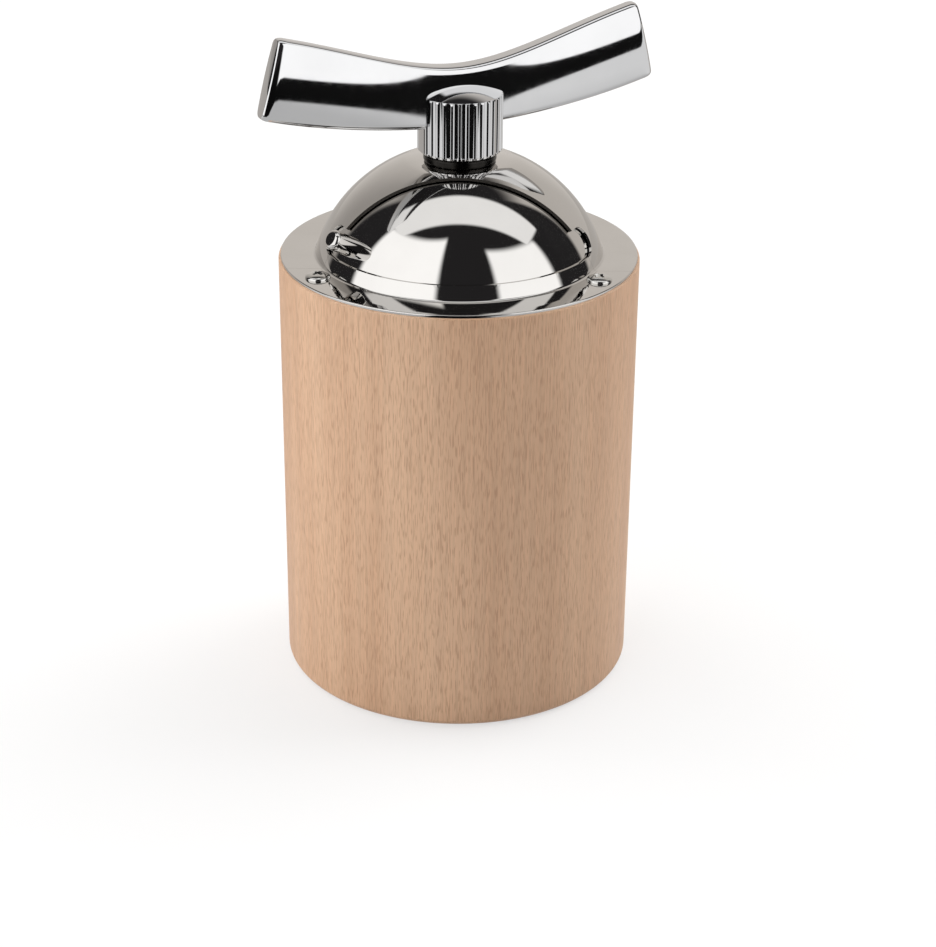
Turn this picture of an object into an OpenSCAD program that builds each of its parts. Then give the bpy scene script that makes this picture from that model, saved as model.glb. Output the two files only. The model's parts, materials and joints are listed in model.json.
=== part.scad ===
// Hand-cranked flaxseed mill: a turned beech body, a pressed steel dome with a turning hatch,
// and a T-bar handle that drives a grinding cone in the foot. The origin is on the table, on the
// mill's axis; +Z is up and the hatch's mouth faces -Y. Azimuths start at the front and grow towards +X.

/* [Wooden body] */
// Outer diameter of the wooden body
body_d = 70; // [64:0.5:90]
// Height of the wooden body
body_h = 86.1; // [78:0.1:140]
// Thickness of the wood round the hopper
body_wall = 8; // [7:0.25:10]
// Rounding of the lower outer edge
bottom_round = 1.6; // [0.5:0.1:3]
// Rounding of the upper outer edge
top_round = 0.5; // [0.2:0.1:0.9]
// Height of the sloping hopper floor
hopper_cone_h = 12; // [6:0.5:18]
// Height of the straight throat above the grinding set
throat_h = 4; // [2:0.5:10]

/* [Dome cover] */
// Thickness of the pressed sheet
sheet_t = 0.5; // [0.4:0.1:1]
// Step from the wood's side to the flange's edge
flange_inset = 0.4; // [0.3:0.1:2]
// Width of the flange outside the dome
flange_w = 6.64; // [6:0.02:8]
// Height of the dome's round above the flange
dome_rise = 20.36; // [17:0.02:26]
// Radius of the fillet between flange and dome
base_fillet = 0.6; // [0.4:0.1:1.6]
// Distance from the axis to the upright edge of the mouth
mouth_y = 11; // [10.5:0.1:14]
// Height of the fixed sill in front of the mouth
sill_h = 2.8; // [2:0.1:3.4]
// Radius of the notches that take the finger pin
notch_r = 3; // [2.6:0.1:3.2]
// Azimuth of the notches on both sides
notch_az = 67; // [64:0.5:72]
// Height of the notches' middle above the flange
notch_h = 5.5; // [5.2:0.1:5.8]

/* [Hatch] */
// Thickness of the hatch sheet
hatch_t = 0.6; // [0.5:0.05:1]
// Running gap between hatch and dome
hatch_gap = 0.25; // [0.2:0.05:0.8]
// Height of the hatch's lower edge above the wood
hatch_lift = 1.8; // [1:0.1:3]
// Azimuth of the hatch's left edge
hatch_left_az = -80; // [-86:1:-76]
// Azimuth of the hatch's right edge
hatch_right_az = 88; // [84:1:96]
// Diameter of the finger pin
pin_d = 3.8; // [2.4:0.1:4]
// Length of the finger pin outside the hatch
pin_len = 5.8; // [4:0.1:9]
// Azimuth of the finger pin at rest
pin_az = -53.5; // [-60:0.5:-45]
// Height of the pin's middle above the flange
pin_h = 5.5; // [5:0.1:6]

/* [Crank handle] */
// Diameter over the knurled hub
hub_d = 16.28; // [15:0.02:22]
// Height of the knurled band
hub_h = 10.7; // [9:0.1:13]
// Height of the smooth cap above the knurling
cap_h = 2.4; // [1.5:0.1:4]
// Rounding of the cap's edge
cap_edge = 0.5; // [0.3:0.1:1]
// Slope of the cap's crown at its edge, in degrees
cap_slope = 26; // [10:1:28]
// Flutes round the hub
flute_count = 34; // [24:1:40]
// Width of one flute
flute_w = 0.9; // [0.6:0.05:1]
// Turn of the bar about the upright axis
bar_turn = 24; // [0:0.5:90]
// Distance from the axis to the middle of an end face
bar_half = 38.2; // [30:0.1:55]
// Rise of the bar's axis from the middle to the ends
bar_rise = 7.1; // [4:0.1:12]
// Softness of the bend in the middle of the bar
bar_bend = 5.6; // [3:0.1:8]
// Height of the bar's section in the middle
bar_mid_h = 11.6; // [9:0.1:13]
// Height of the bar's section at the ends
bar_end_h = 15.3; // [12:0.1:18]
// Depth of the bar from front to back
bar_depth = 4.4; // [4.2:0.1:6]
// Length over which the section grows
bar_swell = 35; // [20:0.5:36]
// Height of the bar's middle above the foot of the hub
bar_lift = 10.65; // [9.8:0.05:12]

/* [Shaft and bushes] */
// Diameter of the upper journal
journal_d = 7; // [6:0.1:8]
// Side of the square part of the shaft
square_w = 6; // [5:0.1:7]
// Diameter of the lower journal
foot_journal_d = 5; // [4:0.1:5.5]
// Wall of the neck bush
bush_wall = 1.4; // [1.2:0.1:1.6]
// Width of the neck bush's collar outside its barrel
collar_w = 2.05; // [1.9:0.05:2.6]
// Thickness of the neck bush's collar
collar_t = 1.75; // [0.4:0.05:2.2]
// Width of the flat crown outside the collar
pad_w = 3.9; // [0.2:0.1:4]
// Height of the nut under the hatch
nut_h = 2.2; // [1.6:0.1:3]
// Thickness of the plain washers
washer_t = 0.3; // [0.2:0.05:0.6]
// Wall of the foot bush
foot_bush_wall = 1.5; // [1:0.1:2]

/* [Grinding set] */
// Largest diameter of the grinding cone
rotor_d = 27.8; // [24:0.2:32]
// Diameter of the cone's top
rotor_top_d = 16; // [15:0.2:20]
// Height of the grinding cone
rotor_h = 19; // [15:0.5:24]
// Height of the cylindrical finishing band
rotor_band_h = 4; // [2:0.25:6]
// Flutes round the grinding cone
rotor_flutes = 9; // [6:1:12]
// Gap between cone and ring where the seed is cut last
grind_gap = 0.6; // [0.4:0.05:1.2]
// Wall of the grinding ring
ring_wall = 2.4; // [2:0.1:4]
// Grooves in the grinding ring
ring_grooves = 28; // [16:1:32]
// Wall of the housing round the ring
housing_wall = 1.5; // [1:0.1:3]
// Width of the housing's foot flange
housing_flange_w = 6; // [5.6:0.1:8]
// Thickness of the housing's foot flange
housing_flange_t = 1.6; // [1.2:0.1:3]
// Thickness of the bearing bridge
bridge_t = 1.6; // [1.2:0.1:3]
// Width of a bridge spoke
spoke_w = 4.5; // [3:0.25:6]
// Height of the bearing boss
boss_h = 5.5; // [4:0.25:7]
// Height of the lowest metal above the table
foot_gap = 1.6; // [1:0.1:4]

/* [Spring] */
// Free length between the cone and the spring's seat
spring_len = 15; // [10:0.5:22]
// Turns of the spring
spring_turns = 6; // [4:1:8]
// Diameter of the spring wire
spring_wire = 1.1; // [0.8:0.05:1.3]
// Thickness of the spring's seat
spring_seat_t = 1; // [0.6:0.1:2]
// Diameter of the cross pin over the seat
cross_pin_d = 1.6; // [1.2:0.1:2]

/* [Fasteners] */
// Head diameter of the cover screws
screw_head_d = 4.8; // [4:0.1:5.2]
// Head height of the cover screws
screw_head_h = 1; // [0.9:0.1:2]
// Shank diameter of all screws
screw_d = 2.8; // [2.2:0.1:3]
// Length of the cover screws under the head
screw_len = 12; // [8:0.5:18]
// Azimuth of the two front cover screws
screw_az = 59; // [55:0.5:64]
// Head diameter of the mechanism screws
foot_screw_head_d = 5; // [4:0.1:5.2]
// Length of the mechanism screws under the head
foot_screw_len = 14; // [10:0.5:20]
// Diameter of the hub's grub screw
grub_d = 2.4; // [2:0.1:2.4]

/* [Clearances] */
// Radial gap of a turning fit
running_fit = 0.05; // [0.02:0.01:0.08]
// Radial gap of a fixed fit
seat_fit = 0.05; // [0.02:0.01:0.08]
// End gap between pieces that turn past each other
end_gap = 0.05; // [0.03:0.01:0.2]
// Gap between the bar and the walls of its slot
slot_gap = 0.15; // [0.1:0.05:0.3]

/* [Hidden] */
$fn = 96;

// Depth by which a cutter stands past the face it cuts
over = 1;
// Step of the arcs in the turned outlines, in degrees
arc_step = 3;
// Depth of the cross recess in a screw head, and the width of its slots
recess_depth = 0.6;
recess_w = 0.7;

// Turned body
body_r = body_d / 2;
hopper_r = body_r - body_wall;

// Grinding set, from the axis outwards
rotor_r = rotor_d / 2;
rotor_top_r = rotor_top_d / 2;
ring_in_r = rotor_r + grind_gap;
ring_out_r = ring_in_r + ring_wall;
ring_lip = 1.2;
ring_mouth_r = ring_out_r - ring_lip;
groove_w = 1;
groove_depth = 0.6;
housing_in_r = ring_out_r + seat_fit;
housing_r = housing_in_r + housing_wall;
housing_flange_r = housing_r + housing_flange_w;
seat_r = housing_r + seat_fit;
outlet_gap = 0.4;
outlet_r = housing_flange_r + outlet_gap;
foot_screw_r = housing_r + housing_flange_w / 2;
foot_screw_head_h = 1.8;
foot_screw_count = 3;

// Grinding set, from the table upwards
bridge_z = foot_gap + foot_screw_head_h;
flange_z = bridge_z + bridge_t;
ledge_z = flange_z + housing_flange_t;
boss_top_z = bridge_z + boss_h;
foot_collar_t = 1.2;
foot_collar_z = boss_top_z + foot_collar_t;
cone_washer_t = 0.6;
cone_washer_z = foot_collar_z + end_gap;
rotor_z = cone_washer_z + cone_washer_t;
rotor_top_z = rotor_z + rotor_h;
rotor_stand = 3;
ring_top_z = rotor_top_z - rotor_stand;
housing_lip_t = 2;
housing_top_z = ring_top_z + seat_fit + housing_lip_t;
seat_top_z = housing_top_z + seat_fit;
cone_foot_z = seat_top_z + throat_h;
hopper_floor_z = cone_foot_z + hopper_cone_h;

// Foot bearing
foot_journal_r = foot_journal_d / 2;
foot_bore_r = foot_journal_r + running_fit;
foot_bush_r = foot_bore_r + foot_bush_wall;
foot_collar_r = foot_bush_r + 1.4;
boss_bore_r = foot_bush_r + seat_fit;
boss_r = boss_bore_r + 2;
spoke_count = 3;
clip_t = 0.7;
clip_z = bridge_z - end_gap - clip_t;
clip_seat_r = foot_journal_r - 0.4;
clip_r = foot_journal_r + 1.3;
shaft_foot_z = clip_z - 0.7;

// Dome
flange_r = body_r - flange_inset;
flange_top_z = body_h + sheet_t;
flange_round = 0.2;
dome_foot_r = flange_r - flange_w;
dome_r = (dome_foot_r * dome_foot_r + dome_rise * dome_rise) / (2 * dome_rise);
dome_z = flange_top_z + dome_rise - dome_r;
dome_in_r = dome_r - sheet_t;
fillet_z = flange_top_z + base_fillet;
fillet_r = sqrt(pow(dome_r + base_fillet, 2) - pow(fillet_z - dome_z, 2));
fillet_slope = asin((fillet_z - dome_z) / (dome_r + base_fillet));
sill_z = flange_top_z + sill_h;
notch_slope = asin((flange_top_z + notch_h - dome_z) / dome_r);
notch_reach = 4.5;

// Neck bush, from the axis outwards
journal_r = journal_d / 2;
neck_bore_r = journal_r + running_fit;
barrel_r = neck_bore_r + bush_wall;
barrel_hole_r = barrel_r + seat_fit;
collar_r = barrel_r + collar_w;
pad_r = collar_r + pad_w;
nut_r = collar_r - 0.1;

// Neck, from the hatch upwards
pad_z = dome_z + sqrt(dome_r * dome_r - pad_r * pad_r);
pad_foot_z = pad_z - sheet_t;
pad_in_r = sqrt(dome_in_r * dome_in_r - pow(pad_foot_z - dome_z, 2));
hatch_r = dome_in_r - hatch_gap;
hatch_in_r = hatch_r - hatch_t;
hatch_ring_r = pad_in_r;
hatch_ring_z = dome_z + sqrt(hatch_r * hatch_r - hatch_ring_r * hatch_ring_r);
hatch_ring_foot_z = dome_z + sqrt(hatch_in_r * hatch_in_r - hatch_ring_r * hatch_ring_r);
hatch_foot_z = body_h + hatch_lift;
nut_top_z = hatch_ring_foot_z - end_gap;
nut_z = nut_top_z - nut_h;
barrel_foot_z = nut_z - 0.5;
collar_top_z = pad_z + collar_t;
collar_round = min(0.6, 0.4 * collar_t);
hub_z = collar_top_z + end_gap + washer_t;

// Finger pin, along its own line from the dome's centre
pin_slope = asin((flange_top_z + pin_h - dome_z) / hatch_r);
pin_r = pin_d / 2;
pin_tip = 0.3;
pin_nut_wall = 1.2;
pin_nut_r = pin_r + pin_nut_wall;
pin_nut_t = 1.6;
pin_nut_out = sqrt(hatch_in_r * hatch_in_r - pin_nut_r * pin_nut_r) - seat_fit;
pin_nut_in = pin_nut_out - pin_nut_t;
pin_stub = 0.4;
pin_root = pin_nut_in - pin_stub;

// Hub and bar
hub_r = hub_d / 2;
hub_chamfer = 0.4;
flute_r = flute_w / 2;
hub_top_z = hub_z + hub_h;
cap_top_z = hub_top_z + cap_h;
bar_z = hub_z + bar_lift;
slot_z = bar_z - bar_mid_h / 2 - slot_gap;
slot_w = bar_depth + 2 * slot_gap;
grub_r = grub_d / 2;
grub_z = (hub_z + slot_z) / 2;
grub_sink = 0.8;
bar_slope = sqrt(pow(bar_rise + bar_bend, 2) - bar_bend * bar_bend) / bar_half;
bar_stations = 14;
bar_mid_bulge = 0.03;
bar_end_bulge = 0.4;
bar_round = 1.1;
bar_face_steps = 3;
bar_corner_step = 22.5;
bar_edge = 1.5;
bar_edge_in = 0.45;

// Shaft
shaft_top_z = slot_z - 0.2;
shaft_shoulder_z = barrel_foot_z - 1.5;
square_hole = square_w + 2 * seat_fit;
square_corner_r = square_w / sqrt(2);

// Spring on the square part of the shaft
wire_r = spring_wire / 2;
spring_r = square_corner_r + wire_r + 0.5;
spring_rings = 16;
wire_sides = 8;
spring_seat_z = rotor_top_z + spring_len;
spring_seat_r = spring_r + wire_r + 0.8;
cross_pin_r = cross_pin_d / 2;
cross_pin_z = spring_seat_z + spring_seat_t + cross_pin_r + seat_fit;
cross_pin_len = 2 * spring_seat_r - 1;

// Screws
screw_r = screw_d / 2;
screw_hole_r = screw_r + seat_fit;
screw_ring_r = fillet_r + screw_head_d / 2 + seat_fit;
screw_azimuths = [-screw_az, screw_az, 180];

// Points of an arc about [x, z], from one angle to another
function arc(x, z, r, from, to) =
    let (n = max(2, ceil(abs(to - from) / arc_step)))
    [for (i = [0:n]) let (a = from + (to - from) * i / n) [x + r * cos(a), z + r * sin(a)]];

// Rise of the bar's axis at a distance along it, and the slope there
function bar_height(x) = sqrt(bar_bend * bar_bend + pow(bar_slope * x, 2)) - bar_bend;
function bar_angle(x) = atan(bar_slope * bar_slope * x / (bar_height(x) + bar_bend));

// Height of the bar's section and the bulge of its faces, which grow smoothly from the middle
function bar_growth(x) = let (t = min(1, abs(x) / bar_swell)) t * t * (3 - 2 * t);
function bar_section(x) = bar_mid_h + (bar_end_h - bar_mid_h) * bar_growth(x);
function bar_bulge(x) = bar_mid_bulge + (bar_end_bulge - bar_mid_bulge) * bar_growth(x);

// Outline of the bar's section: two slightly round faces, joined above and below by rounded edges
function bar_outline(h, d, bulge) = [for (side = [1, -1]) each concat(
    [for (i = [-bar_face_steps:bar_face_steps]) let (t = i / bar_face_steps)
        side * [d - bulge * t * t, (h - bar_round) * t]],
    [for (a = [bar_corner_step:bar_corner_step:90])
        side * [d - bulge - bar_round * (1 - cos(a)), h - bar_round * (1 - sin(a))]],
    [for (a = [90:bar_corner_step:180 - bar_corner_step])
        side * [bulge + bar_round * (1 + cos(a)) - d, h - bar_round * (1 - sin(a))]])];

// One ring of the bar's skin: at x, moved along the axis, and shrunk for the rounded end edges
function bar_ring(x, along, inset) =
    let (a = bar_angle(x))
    [for (p = bar_outline(bar_section(x) / 2 - inset, bar_depth / 2 - inset, bar_bulge(x)))
        [x + along * cos(a) - p.y * sin(a),
         p.x,
         bar_z + bar_height(x) + along * sin(a) + p.y * cos(a)]];

// Triangles of a tube of rings, closed at both ends
function tube_faces(rings, sides) = concat(
    [for (i = [0:rings - 2], k = [0:sides - 1], half = [0, 1])
        let (a = i * sides + k, b = i * sides + (k + 1) % sides)
        half == 0 ? [a, b, b + sides] : [a, b + sides, a + sides]],
    [for (k = [1:sides - 2]) [0, k + 1, k]],
    [for (k = [1:sides - 2], last = (rings - 1) * sides) [last, last + k, last + k + 1]]);

// Places a child's +Z along a line from the dome's centre
module radial(azimuth, slope) {
    translate([0, 0, dome_z]) rotate([0, 0, azimuth]) rotate([90 - slope, 0, 0]) children();
}

// A plain ring between two heights
module ring(inner, outer, low, high) {
    difference() {
        translate([0, 0, low]) cylinder(r = outer, h = high - low);
        translate([0, 0, low - over]) cylinder(r = inner, h = high - low + 2 * over);
    }
}

// A square peg or hole on the axis
module square_bar(width, low, high) {
    translate([-width / 2, -width / 2, low]) cube([width, width, high - low]);
}

// A pan-head screw with a cross recess: the head stands on z = 0 and the shank hangs below
module pan_screw(head_r, head_h, shank_r, shank_len) {
    crown = head_h * 0.45;
    bevel = crown * 0.8;
    difference() {
        rotate_extrude() polygon([[0, -shank_len], [shank_r * 0.3, -shank_len],
            [shank_r, -shank_len + shank_r * 2], [shank_r, 0], [head_r, 0], [head_r, head_h - crown],
            [head_r - bevel * 0.3, head_h - crown * 0.45], [head_r - bevel, head_h - crown * 0.1],
            [head_r - bevel * 1.8, head_h], [0, head_h]]);
        for (turn = [0, 90])
            rotate([0, 0, turn])
                translate([-head_r * 0.6, -recess_w / 2, head_h - recess_depth])
                    cube([head_r * 1.2, recess_w, recess_depth + over]);
    }
}

// Wood: turned outline with rounded edges, then the stepped bore from outlet to hopper
module wooden_body() {
    color("burlywood") difference() {
        rotate_extrude() polygon(concat(
            [[outlet_r, 0]],
            arc(body_r - bottom_round, bottom_round, bottom_round, -90, 0),
            arc(body_r - top_round, body_h - top_round, top_round, 0, 90),
            [[hopper_r, body_h], [hopper_r, hopper_floor_z], [ring_mouth_r, cone_foot_z],
             [ring_mouth_r, seat_top_z], [seat_r, seat_top_z], [seat_r, ledge_z], [outlet_r, ledge_z]]));
        for (az = screw_azimuths)
            rotate([0, 0, az]) translate([0, -screw_ring_r, body_h - screw_len - over])
                cylinder(r = screw_hole_r, h = screw_len + 2 * over, $fn = 32);
        foot_screw_places() translate([0, 0, bridge_z])
            cylinder(r = screw_hole_r, h = foot_screw_len + over, $fn = 32);
    }
}

// Dome: one pressed sheet with flange, fillet, round and a flat pad for the neck bush
module dome_cover() {
    pad_slope = acos(pad_r / dome_r);
    pad_in_slope = acos(pad_in_r / dome_in_r);
    color("silver") difference() {
        rotate_extrude() polygon(concat(
            [[fillet_r, body_h], [flange_r, body_h]],
            arc(flange_r - flange_round, flange_top_z - flange_round, flange_round, 0, 90),
            arc(fillet_r, fillet_z, base_fillet, 270, 180 + fillet_slope),
            arc(0, dome_z, dome_r, fillet_slope + arc_step / 2, pad_slope),
            [[barrel_hole_r, pad_z], [barrel_hole_r, pad_foot_z]],
            arc(0, dome_z, dome_in_r, pad_in_slope, fillet_slope + arc_step / 2),
            arc(fillet_r, fillet_z, base_fillet + sheet_t, 180 + fillet_slope, 270 - arc_step / 2)));
        translate([-dome_r, -dome_r - over, sill_z])
            cube([2 * dome_r, dome_r + over - mouth_y, dome_r]);
        for (side = [-1, 1]) notch(side);
        for (az = screw_azimuths)
            rotate([0, 0, az]) translate([0, -screw_ring_r, body_h - over])
                cylinder(r = screw_hole_r, h = sheet_t + 2 * over, $fn = 32);
    }
}

// Half-round notch in the upright edge of the mouth, open towards the mouth
module notch(side) {
    radial(side * notch_az, notch_slope) translate([0, 0, dome_in_r - over])
        linear_extrude(height = sheet_t + 2 * over) {
            circle(r = notch_r, $fn = 48);
            translate([side > 0 ? -notch_reach : 0, -notch_r]) square([notch_reach, 2 * notch_r]);
        }
}

module cover_screws() {
    color("silver") for (az = screw_azimuths)
        rotate([0, 0, az]) translate([0, -screw_ring_r, flange_top_z])
            pan_screw(screw_head_d / 2, screw_head_h, screw_r, screw_len);
}

// Neck bush: the collar sits on the dome's pad, the barrel carries the hatch and its nut
module neck_bush() {
    color("dimgray") rotate_extrude() polygon(concat(
        [[neck_bore_r, barrel_foot_z], [barrel_r, barrel_foot_z], [barrel_r, pad_z]],
        arc(collar_r - collar_round, pad_z + collar_round, collar_round, -90, 0),
        arc(collar_r - collar_round, collar_top_z - collar_round, collar_round, 0, 90),
        [[neck_bore_r, collar_top_z]]));
}

module hatch_washer() {
    color("black") ring(barrel_hole_r, collar_r, hatch_ring_z + end_gap, pad_foot_z - seat_fit);
}

module bush_nut() {
    color("dimgray") difference() {
        translate([0, 0, nut_z]) cylinder(r = nut_r, h = nut_h, $fn = 6);
        translate([0, 0, nut_z - over]) cylinder(r = barrel_hole_r, h = nut_h + 2 * over);
    }
}

// Hatch: a round shell inside the dome, cut to a sector, with a full ring round the neck bush
module hatch_shutter() {
    ring_slope = acos(hatch_ring_r / hatch_r);
    ring_in_slope = acos(hatch_ring_r / hatch_in_r);
    foot_slope = asin((hatch_foot_z - dome_z) / hatch_r);
    foot_in_slope = asin((hatch_foot_z - dome_z) / hatch_in_r);
    color("silver") difference() {
        rotate_extrude() polygon(concat(
            arc(0, dome_z, hatch_r, foot_slope, ring_slope),
            [[barrel_r + running_fit, hatch_ring_z], [barrel_r + running_fit, hatch_ring_foot_z]],
            arc(0, dome_z, hatch_in_r, ring_in_slope, foot_in_slope)));
        difference() {
            translate([0, 0, hatch_foot_z - over]) linear_extrude(height = dome_r)
                polygon([[0, 0], for (az = [hatch_right_az : (360 + hatch_left_az - hatch_right_az) / 4
                    : 360 + hatch_left_az + over / 100]) 2 * dome_r * [sin(az), -cos(az)]]);
            translate([0, 0, hatch_foot_z - 2 * over]) cylinder(r = hatch_ring_r, h = 2 * dome_r);
        }
        radial(pin_az, pin_slope) cylinder(r = pin_r + seat_fit, h = dome_r, $fn = 48);
    }
}

module hatch_pin() {
    end = hatch_r + pin_len;
    color("silver") radial(pin_az, pin_slope) rotate_extrude($fn = 48)
        polygon([[0, pin_root], [pin_r, pin_root], [pin_r, end - pin_tip], [pin_r - pin_tip, end], [0, end]]);
}

module hatch_pin_nut() {
    color("dimgray") radial(pin_az, pin_slope) difference() {
        translate([0, 0, pin_nut_in]) cylinder(r = pin_nut_r, h = pin_nut_t, $fn = 6);
        translate([0, 0, pin_nut_in - over]) cylinder(r = pin_r + seat_fit, h = pin_nut_t + 2 * over, $fn = 48);
    }
}

// Bar: a swept flat section that bends up from the middle and grows towards its rounded ends
module handle_bar() {
    reach = bar_half - bar_edge;
    edge = [for (a = [30:30:90]) [bar_edge * sin(a), bar_edge_in * (1 - cos(a))]];
    rings = concat(
        [for (i = [len(edge) - 1:-1:0]) bar_ring(-reach, -edge[i].x, edge[i].y)],
        [for (i = [-bar_stations:bar_stations]) bar_ring(reach * i / bar_stations, 0, 0)],
        [for (e = edge) bar_ring(reach, e.x, e.y)]);
    color("gainsboro") rotate([0, 0, bar_turn])
        polyhedron([for (r = rings, p = r) p], tube_faces(len(rings), len(rings[0])), convexity = 4);
}

// Hub: a fluted cylinder with a smooth round cap, slotted for the bar and bored for the shaft
module knurled_hub() {
    rim_r = hub_r - cap_edge * (1 - sin(cap_slope));
    crown_r = rim_r / sin(cap_slope);
    shoulder_z = cap_top_z - rim_r * tan(cap_slope / 2) - cap_edge * cos(cap_slope);
    color("gainsboro") difference() {
        rotate_extrude() polygon(concat(
            [[0, hub_z], [hub_r - hub_chamfer, hub_z], [hub_r, hub_z + hub_chamfer]],
            arc(hub_r - cap_edge, shoulder_z, cap_edge, 0, 90 - cap_slope),
            arc(0, cap_top_z - crown_r, crown_r, 90 - cap_slope + arc_step / 2, 90)));
        for (i = [0:flute_count - 1])
            rotate([0, 0, 360 * i / flute_count]) translate([hub_r + flute_r * 0.2, 0, hub_z - over])
                cylinder(r = flute_r, h = hub_h + over, $fn = 24);
        translate([0, 0, hub_z - over]) cylinder(r = journal_r + seat_fit, h = slot_z - hub_z + 2 * over);
        rotate([0, 0, bar_turn]) {
            translate([-hub_d, -slot_w / 2, slot_z]) cube([2 * hub_d, slot_w, cap_top_z - slot_z + over]);
            translate([0, 0, grub_z]) rotate([-90, 0, 0]) cylinder(r = grub_r + seat_fit, h = hub_d, $fn = 32);
        }
    }
}

// Grub screw in the rear of the hub, with a hexagon socket
module hub_grub_screw() {
    length = hub_r - grub_sink - journal_r - seat_fit;
    color("dimgray") rotate([0, 0, bar_turn]) translate([0, journal_r + seat_fit, grub_z]) rotate([-90, 0, 0])
        difference() {
            cylinder(r = grub_r, h = length, $fn = 32);
            translate([0, 0, length / 2]) cylinder(r = grub_r * 0.6, h = length, $fn = 6);
        }
}

module hub_washer() {
    color("black") ring(journal_r + seat_fit, collar_r - 0.4, hub_z - washer_t, hub_z);
}

// Shaft: upper journal, long square, and a core that goes through both to the lower journal
module drive_shaft() {
    color("gray") difference() {
        union() {
            translate([0, 0, shaft_shoulder_z]) cylinder(r = journal_r, h = shaft_top_z - shaft_shoulder_z);
            square_bar(square_w, rotor_z, shaft_shoulder_z);
            translate([0, 0, shaft_foot_z]) cylinder(r = foot_journal_r, h = shaft_shoulder_z + over - shaft_foot_z);
        }
        ring(clip_seat_r, clip_r, clip_z, clip_z + clip_t);
        translate([0, 0, cross_pin_z]) rotate([90, 0, 0])
            cylinder(r = cross_pin_r + seat_fit, h = 2 * square_w, center = true, $fn = 32);
    }
}

// Grinding cone with slanting flutes that feed the seed down to the finishing band
module grinding_cone() {
    cone_h = rotor_h - rotor_band_h;
    cone_angle = atan((rotor_r - rotor_top_r) / cone_h);
    flute_depth = 1.6;
    flute_width = 3;
    flute_lean = 22;
    middle_r = (rotor_r + rotor_top_r) / 2;
    middle_z = rotor_z + rotor_band_h + cone_h / 2;
    color("slategray") difference() {
        rotate_extrude() polygon([[0, rotor_z], [rotor_r, rotor_z], [rotor_r, rotor_z + rotor_band_h],
            [rotor_top_r, rotor_top_z], [0, rotor_top_z]]);
        for (i = [0:rotor_flutes - 1])
            rotate([0, 0, 360 * i / rotor_flutes]) translate([middle_r, 0, middle_z])
                rotate([0, -cone_angle, 0]) rotate([flute_lean, 0, 0])
                    cube([2 * flute_depth, flute_width, 1.1 * cone_h], center = true);
        square_bar(square_hole, rotor_z - over, rotor_top_z + over);
    }
}

module cone_washer() {
    color("goldenrod") ring(foot_journal_r + seat_fit, foot_collar_r, cone_washer_z, rotor_z);
}

// Coil spring that keeps the cone on its washer
module rotor_spring() {
    count = spring_turns * spring_rings;
    low = rotor_top_z + wire_r + seat_fit;
    high = spring_seat_z - wire_r - seat_fit;
    points = [for (i = [0:count], k = [0:wire_sides - 1])
        let (a = 360 * i / spring_rings, b = 360 * k / wire_sides, r = spring_r + wire_r * cos(b))
        [r * cos(a), r * sin(a), low + (high - low) * i / count + wire_r * sin(b)]];
    color("silver") polyhedron(points, tube_faces(count + 1, wire_sides), convexity = 12);
}

module spring_seat() {
    color("gray") difference() {
        translate([0, 0, spring_seat_z]) cylinder(r = spring_seat_r, h = spring_seat_t);
        square_bar(square_hole, spring_seat_z - over, spring_seat_z + spring_seat_t + over);
    }
}

module cross_pin() {
    color("gray") translate([0, 0, cross_pin_z]) rotate([90, 0, 0])
        cylinder(r = cross_pin_r, h = cross_pin_len, center = true, $fn = 32);
}

// Spring clip in the groove at the shaft's foot, open on one side
module shaft_clip() {
    color("dimgray") difference() {
        ring(clip_seat_r + seat_fit, clip_r, clip_z, clip_z + clip_t);
        translate([0, -clip_seat_r * 0.6, clip_z - over]) cube([2 * clip_r, clip_seat_r * 1.2, clip_t + 2 * over]);
    }
}

// Housing: a flanged sleeve pushed into the wood, with a lip over the grinding ring
module stator_housing() {
    color("gray") difference() {
        rotate_extrude() polygon([[housing_in_r, flange_z], [housing_flange_r, flange_z],
            [housing_flange_r, ledge_z], [housing_r, ledge_z], [housing_r, housing_top_z],
            [ring_mouth_r, housing_top_z], [ring_mouth_r, ring_top_z + seat_fit],
            [housing_in_r, ring_top_z + seat_fit]]);
        foot_screw_places() translate([0, 0, flange_z - over])
            cylinder(r = screw_hole_r, h = housing_flange_t + 2 * over, $fn = 32);
    }
}

// Grinding ring with upright grooves; it stands on the bridge under the housing's lip
module grinding_ring() {
    chamfer_h = rotor_h / 3;
    color("slategray") difference() {
        rotate_extrude() polygon([[ring_in_r, flange_z], [ring_out_r, flange_z], [ring_out_r, ring_top_z],
            [ring_mouth_r, ring_top_z], [ring_in_r, ring_top_z - chamfer_h]]);
        for (i = [0:ring_grooves - 1])
            rotate([0, 0, 360 * i / ring_grooves])
                translate([ring_in_r - over, -groove_w / 2, flange_z - over])
                    cube([over + groove_depth, groove_w, ring_top_z - flange_z + 2 * over]);
    }
}

// Bridge: a screwed ring, three spokes and the boss that carries the foot bush
module bearing_bridge() {
    spoke_end = ring_mouth_r + 1;
    color("gray") difference() {
        union() {
            translate([0, 0, bridge_z]) linear_extrude(height = bridge_t) {
                difference() {
                    circle(r = housing_flange_r);
                    circle(r = ring_mouth_r);
                }
                for (i = [0:spoke_count - 1])
                    rotate(90 + 360 * i / spoke_count) translate([0, -spoke_w / 2]) square([spoke_end, spoke_w]);
            }
            translate([0, 0, bridge_z]) cylinder(r = boss_r, h = boss_h);
        }
        translate([0, 0, bridge_z - over]) cylinder(r = boss_bore_r, h = boss_h + 2 * over);
        foot_screw_places() translate([0, 0, bridge_z - over])
            cylinder(r = screw_hole_r, h = bridge_t + 2 * over, $fn = 32);
    }
}

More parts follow.
